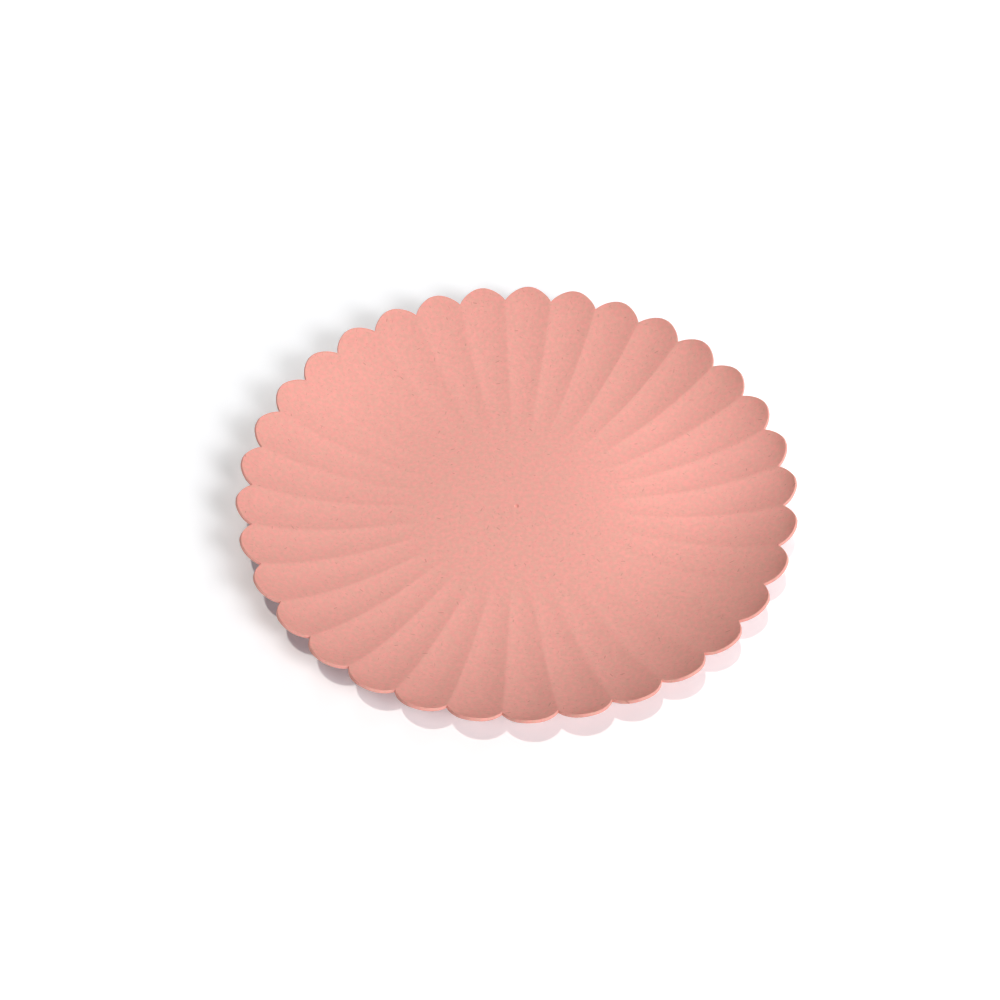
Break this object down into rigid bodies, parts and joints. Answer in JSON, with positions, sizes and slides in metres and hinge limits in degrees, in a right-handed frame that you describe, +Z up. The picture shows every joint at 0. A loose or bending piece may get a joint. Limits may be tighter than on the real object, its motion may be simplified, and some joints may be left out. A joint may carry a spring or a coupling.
{
  "type": "candy dish",
  "caption": "Shallow round candy dish, moulded in one piece, with petal-shaped flutes rising from a flat floor to a scalloped lip, on a low foot ring.",
  "frame": {"origin": "on the dish's axis, in the plane that the foot ring rests on", "axes": "+Z up along the dish's axis, +X through the tip of one petal"},
  "size_m": [0.2107, 0.211, 0.0178],
  "materials": {
    "salmon_plastic": "satin salmon-pink moulded plastic with fine fibre flecks"
  },
  "bodies": {
    "root": {"dish_body": "salmon_plastic"}
  },
  "joints": []
}
